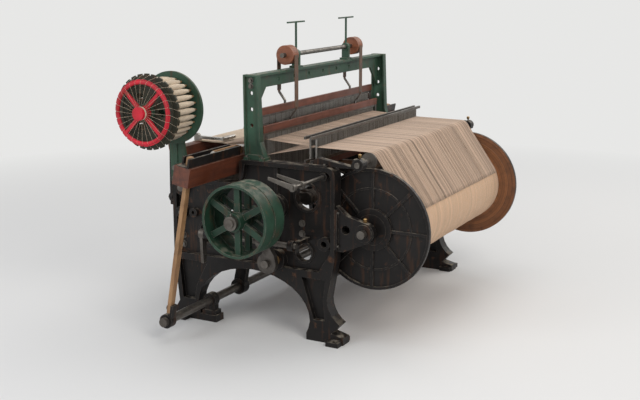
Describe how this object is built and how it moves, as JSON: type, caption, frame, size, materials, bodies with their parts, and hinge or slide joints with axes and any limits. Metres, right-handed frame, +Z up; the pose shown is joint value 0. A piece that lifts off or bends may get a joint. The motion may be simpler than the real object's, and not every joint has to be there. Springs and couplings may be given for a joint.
{
  "type": "power loom",
  "caption": "Power loom: cast side frames under a green arch, warp beam, open shed, reed and swinging lay, cloth take-up, belt pulleys, handwheel and a round bobbin magazine.",
  "frame": {"origin": "on the floor, under the middle of the machine", "axes": "+X along the shafts to the belt pulleys and the bobbin magazine, +Y from the weaver's side to the warp beam, +Z up"},
  "size_m": [2.359, 1.5379, 1.54],
  "materials": {
    "cast_black": "old black paint over cast iron, oily and dusty",
    "cast_green": "worn dark green machine paint",
    "oiled_steel": "dark steel, oiled and smeared",
    "bright_steel": "worn bright steel",
    "bronze": "oily bronze",
    "grit_roll": "roll covered in grit cloth",
    "lay_wood": "red-brown varnished hardwood, worn",
    "pale_wood": "pale hardwood, oiled",
    "yarn": "cream cotton yarn",
    "cloth": "plain cream cotton cloth",
    "signal_red": "bright red paint",
    "handle_wood": "dark turned wood grip on a black lever"
  },
  "bodies": {
    "frame": {"side_frame_right": "cast_black", "side_frame_left": "cast_black", "arch_posts": "cast_green", "arch_rail": "cast_green", "roll_stands": "cast_green", "breast_beam": "lay_wood", "cross_girts": "cast_black", "beam_stands": "cast_black", "whip_brackets": "cast_black", "shaft_bushes": "bronze", "bearing_blocks": "cast_black", "frame_bolts": "oiled_steel", "warp_threads": "yarn", "cloth_web": "cloth", "temples": "bright_steel", "drop_wires": "bright_steel", "magazine_stand": "cast_green"},
    "crank": {"crankshaft": "oiled_steel", "tight_pulley": "cast_green", "pulley_collar": "oiled_steel", "handwheel": "cast_black", "crank_gear": "oiled_steel"},
    "loose_pulley": {"loose_pulley": "cast_green"},
    "crank_arm_right": {"crank_arm_right": "pale_wood"},
    "crank_arm_left": {"crank_arm_left": "pale_wood"},
    "cams": {"cam_shaft": "oiled_steel", "cam_gear": "oiled_steel", "cams": "oiled_steel"},
    "pick_arm_right": {"pick_arm_right": "oiled_steel"},
    "pick_arm_left": {"pick_arm_left": "oiled_steel"},
    "lay": {"rocker_shaft": "oiled_steel", "lay_swords": "cast_black", "lay_beam": "lay_wood", "race_plate": "pale_wood", "reed": "bright_steel", "hand_rail": "lay_wood", "shuttle_boxes": "cast_black"},
    "picker_stick_right": {"picker_stick_right": "pale_wood"},
    "picker_stick_left": {"picker_stick_left": "pale_wood"},
    "shuttle": {"shuttle": "pale_wood"},
    "harness_front": {"harness_front": "pale_wood", "heddles_front": "bright_steel"},
    "harness_back": {"harness_back": "pale_wood", "heddles_back": "bright_steel"},
    "harness_roll": {"harness_roll": "lay_wood"},
    "treadle_front": {"treadle_front": "cast_black"},
    "treadle_back": {"treadle_back": "cast_black"},
    "warp_beam": {"beam_barrel": "pale_wood", "beam_heads": "cast_black", "beam_yarn": "yarn"},
    "let_off_pinion": {"let_off_pinion": "oiled_steel"},
    "whip_roll": {"whip_roll": "bright_steel"},
    "take_up_roll": {"take_up_roll": "grit_roll"},
    "take_up_pinion": {"take_up_pinion": "oiled_steel"},
    "cloth_roll": {"cloth_roll": "cloth"},
    "magazine": {"magazine_plates": "cast_green", "magazine_bobbins": "yarn", "magazine_wheel": "signal_red"},
    "shipper_handle": {"shipper_handle": "handle_wood"},
    "belt_fork": {"belt_fork": "oiled_steel"}
  },
  "joints": [
    {"name": "crank_spin", "type": "hinge", "parent": "frame", "child": "crank", "pos_m": [0, 0, 0.66], "axis": [1, 0, 0], "continuous": true},
    {"name": "loose_pulley_spin", "type": "hinge", "parent": "crank", "child": "loose_pulley", "pos_m": [1.1, 0, 0.66], "axis": [1, 0, 0], "continuous": true},
    {"name": "arm_right_turn", "type": "hinge", "parent": "crank", "child": "crank_arm_right", "pos_m": [0.498, 0.05, 0.66], "axis": [1, 0, 0], "continuous": true},
    {"name": "arm_left_turn", "type": "hinge", "parent": "crank", "child": "crank_arm_left", "pos_m": [-0.498, 0.05, 0.66], "axis": [1, 0, 0], "continuous": true},
    {"name": "cam_spin", "type": "hinge", "parent": "frame", "child": "cams", "pos_m": [0, 0, 0.39], "axis": [1, 0, 0], "continuous": true},
    {"name": "lay_swing", "type": "hinge", "parent": "frame", "child": "lay", "pos_m": [0, -0.41194, 0.11], "axis": [1, 0, 0], "range_deg": [0, 10.3]},
    {"name": "pick_right_swing", "type": "hinge", "parent": "frame", "child": "pick_arm_right", "pos_m": [0.904, -0.08, 0.513], "axis": [0, 1, 0], "range_deg": [0, 15]},
    {"name": "pick_left_swing", "type": "hinge", "parent": "frame", "child": "pick_arm_left", "pos_m": [-0.904, -0.08, 0.513], "axis": [0, 1, 0], "range_deg": [-15, 0]},
    {"name": "picker_right_swing", "type": "hinge", "parent": "lay", "child": "picker_stick_right", "pos_m": [1.119, -0.39328, 0.17773], "axis": [0, 0.9833, -0.1822], "range_deg": [-9.6, 0]},
    {"name": "picker_left_swing", "type": "hinge", "parent": "lay", "child": "picker_stick_left", "pos_m": [-1.119, -0.39328, 0.17773], "axis": [0, 0.9833, -0.1822], "range_deg": [0, 9.6]},
    {"name": "shuttle_slide", "type": "slide", "parent": "lay", "child": "shuttle", "axis": [-1, 0, 0], "range_m": [0, 1.594]},
    {"name": "harness_front_lift", "type": "slide", "parent": "frame", "child": "harness_front", "axis": [0, 0, 1], "range_m": [-0.084, 0]},
    {"name": "harness_back_lift", "type": "slide", "parent": "frame", "child": "harness_back", "axis": [0, 0, 1], "range_m": [0, 0.084]},
    {"name": "harness_roll_turn", "type": "hinge", "parent": "frame", "child": "harness_roll", "pos_m": [0, -0.1455, 1.372], "axis": [1, 0, 0], "range_deg": [0, 93.5]},
    {"name": "treadle_front_swing", "type": "hinge", "parent": "frame", "child": "treadle_front", "pos_m": [-0.02, 0.25, 0.3], "axis": [1, 0, 0], "range_deg": [0, 12]},
    {"name": "treadle_back_swing", "type": "hinge", "parent": "frame", "child": "treadle_back", "pos_m": [0.02, 0.25, 0.3], "axis": [1, 0, 0], "range_deg": [-13.1, 0]},
    {"name": "warp_beam_turn", "type": "hinge", "parent": "frame", "child": "warp_beam", "pos_m": [0, 0.478, 0.575], "axis": [1, 0, 0], "continuous": true},
    {"name": "let_off_turn", "type": "hinge", "parent": "frame", "child": "let_off_pinion", "pos_m": [-0.75, 0.27127, 0.49976], "axis": [1, 0, 0], "continuous": true},
    {"name": "whip_roll_turn", "type": "hinge", "parent": "frame", "child": "whip_roll", "pos_m": [0, 0.445, 0.903], "axis": [1, 0, 0], "continuous": true},
    {"name": "take_up_turn", "type": "hinge", "parent": "frame", "child": "take_up_roll", "pos_m": [0, -0.56394, 0.7], "axis": [1, 0, 0], "continuous": true},
    {"name": "take_up_pinion_turn", "type": "hinge", "parent": "frame", "child": "take_up_pinion", "pos_m": [-0.8, -0.49194, 0.57529], "axis": [1, 0, 0], "continuous": true},
    {"name": "cloth_roll_turn", "type": "hinge", "parent": "frame", "child": "cloth_roll", "pos_m": [0, -0.56394, 0.5709], "axis": [1, 0, 0], "continuous": true},
    {"name": "magazine_turn", "type": "hinge", "parent": "frame", "child": "magazine", "pos_m": [0.92, -0.572, 1.122], "axis": [1, 0, 0], "continuous": true},
    {"name": "shipper_swing", "type": "hinge", "parent": "frame", "child": "shipper_handle", "pos_m": [0.731, -0.64194, 0.64], "axis": [0, 1, 0], "range_deg": [-22, 0]},
    {"name": "belt_fork_slide", "type": "slide", "parent": "frame", "child": "belt_fork", "axis": [1, 0, 0], "range_m": [0, 0.086]}
  ],
  "couplings": [
    {"joint": "arm_right_turn", "follows": "crank_spin", "ratio": -1},
    {"joint": "arm_left_turn", "follows": "crank_spin", "ratio": -1},
    {"joint": "cam_spin", "follows": "crank_spin", "ratio": -0.5},
    {"joint": "picker_right_swing", "follows": "pick_right_swing", "ratio": -0.64},
    {"joint": "picker_left_swing", "follows": "pick_left_swing", "ratio": -0.64},
    {"joint": "harness_back_lift", "follows": "harness_front_lift", "ratio": -1},
    {"joint": "harness_roll_turn", "follows": "harness_front_lift", "rad_per_m": -19.305},
    {"joint": "treadle_front_swing", "follows": "harness_front_lift", "rad_per_m": -2.4213},
    {"joint": "treadle_back_swing", "follows": "harness_front_lift", "rad_per_m": 2.6455},
    {"joint": "let_off_turn", "follows": "warp_beam_turn", "ratio": -4},
    {"joint": "whip_roll_turn", "follows": "warp_beam_turn", "ratio": 4.881},
    {"joint": "take_up_pinion_turn", "follows": "take_up_turn", "ratio": -5},
    {"joint": "cloth_roll_turn", "follows": "take_up_turn", "ratio": -0.76389},
    {"joint": "belt_fork_slide", "follows": "shipper_swing", "m_per_rad": -0.22267}
  ]
}
